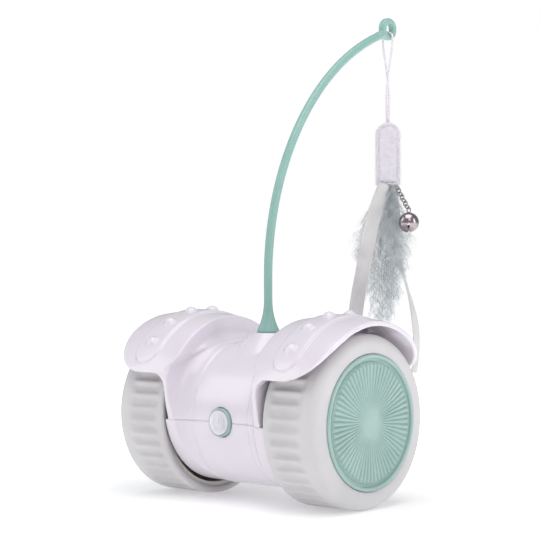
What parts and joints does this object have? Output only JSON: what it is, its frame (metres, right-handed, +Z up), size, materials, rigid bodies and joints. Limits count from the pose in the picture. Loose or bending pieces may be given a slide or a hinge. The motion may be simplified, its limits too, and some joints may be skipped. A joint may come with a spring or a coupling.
{
  "type": "two-wheeled cat teaser toy",
  "caption": "Two-wheeled self-balancing cat toy: waisted body with wheel hoods, ribbed hub caps, bent wand and hanging lure of felt, ribbons, feathers and bell.",
  "frame": {"origin": "on the floor, under the middle of the axle", "axes": "+X along the axle to the wheel at the right of the button, -Y out of the button, +Z up"},
  "size_m": [0.124, 0.1473, 0.2241],
  "materials": {
    "white_shell": "glossy moulded",
    "mint_trim": "satin moulded",
    "mint_wand": "satin moulded",
    "pale_tyre": "matt soft plastic",
    "white_nylon": "moulded",
    "steel": "bright",
    "brass": "bright",
    "board": "lacquered",
    "black_plastic": "moulded",
    "cell_can": "sleeved",
    "string": "twisted",
    "felt": "felted",
    "satin": "satin weave",
    "feathers": "soft",
    "bell_metal": "polished"
  },
  "bodies": {
    "body": {"upper_shell": "white_shell", "lower_shell": "white_shell", "button_ring": "mint_trim", "push_switch": "black_plastic", "circuit_board": "board", "board_screws": "steel", "battery": "cell_can", "charging_board": "board", "charging_socket": "steel", "counterweight": "steel", "body_screws": "steel", "motor_right": "steel", "motor_left": "steel", "gear_plate_right": "white_nylon", "gear_plate_left": "white_nylon", "idler_pin_right": "steel", "idler_pin_left": "steel", "axle_bush_right": "brass", "axle_bush_left": "brass"},
    "button": {"power_button": "white_shell", "switch_plunger": "white_nylon"},
    "wheel_right": {"tyre_right": "pale_tyre", "wheel_rim_right": "white_nylon", "hub_cap_right": "mint_trim", "axle_screw_right": "steel", "axle_right": "steel", "output_gear_right": "white_nylon"},
    "idler_right": {"idler_gear_right": "white_nylon"},
    "pinion_right": {"motor_shaft_right": "steel", "motor_pinion_right": "brass"},
    "wheel_left": {"tyre_left": "pale_tyre", "wheel_rim_left": "white_nylon", "hub_cap_left": "mint_trim", "axle_screw_left": "steel", "axle_left": "steel", "output_gear_left": "white_nylon"},
    "idler_left": {"idler_gear_left": "white_nylon"},
    "pinion_left": {"motor_shaft_left": "steel", "motor_pinion_left": "brass"},
    "wand": {"wand": "mint_wand"},
    "string": {"cord_loop": "string"},
    "lure": {"felt_tab": "felt", "ribbon_front": "satin", "ribbon_rear": "satin", "feather_tuft": "feathers", "bell_chain": "steel"},
    "bell": {"bell": "bell_metal", "bell_pellet": "steel"}
  },
  "joints": [
    {"name": "button_press", "type": "slide", "parent": "body", "child": "button", "axis": [0, 1, 0], "range_m": [0, 0.0008], "stiffness_N_per_m": 1500},
    {"name": "wheel_spin_right", "type": "hinge", "parent": "body", "child": "wheel_right", "pos_m": [0.045, 0, 0.0382], "axis": [1, 0, 0], "continuous": true},
    {"name": "idler_spin_right", "type": "hinge", "parent": "body", "child": "idler_right", "pos_m": [0.02, 0, 0.0526], "axis": [1, 0, 0], "continuous": true},
    {"name": "pinion_spin_right", "type": "hinge", "parent": "body", "child": "pinion_right", "pos_m": [0.02, 0.01091, 0.0463], "axis": [1, 0, 0], "continuous": true},
    {"name": "wheel_spin_left", "type": "hinge", "parent": "body", "child": "wheel_left", "pos_m": [-0.045, 0, 0.0382], "axis": [1, 0, 0], "continuous": true},
    {"name": "idler_spin_left", "type": "hinge", "parent": "body", "child": "idler_left", "pos_m": [-0.02, 0, 0.0526], "axis": [1, 0, 0], "continuous": true},
    {"name": "pinion_spin_left", "type": "hinge", "parent": "body", "child": "pinion_left", "pos_m": [-0.02, 0.01091, 0.0463], "axis": [1, 0, 0], "continuous": true},
    {"name": "wand_pull", "type": "slide", "parent": "body", "child": "wand", "axis": [0, 0, 1], "range_m": [0, 0.014]},
    {"name": "string_swing", "type": "hinge", "parent": "wand", "child": "string", "pos_m": [0, 0.08833, 0.21708], "axis": [1, 0, 0], "range_deg": [-8, 60]},
    {"name": "lure_sway", "type": "hinge", "parent": "string", "child": "lure", "pos_m": [0, 0.08833, 0.17348], "axis": [0, 1, 0], "range_deg": [-20, 20]},
    {"name": "bell_swing", "type": "hinge", "parent": "lure", "child": "bell", "pos_m": [0.01325, 0.08745, 0.13073], "axis": [-0.205, -0.9788, 0], "range_deg": [-3, 35]}
  ],
  "couplings": [
    {"joint": "idler_spin_right", "follows": "wheel_spin_right", "ratio": -3},
    {"joint": "pinion_spin_right", "follows": "wheel_spin_right", "ratio": 7.5},
    {"joint": "idler_spin_left", "follows": "wheel_spin_left", "ratio": -3},
    {"joint": "pinion_spin_left", "follows": "wheel_spin_left", "ratio": 7.5}
  ]
}
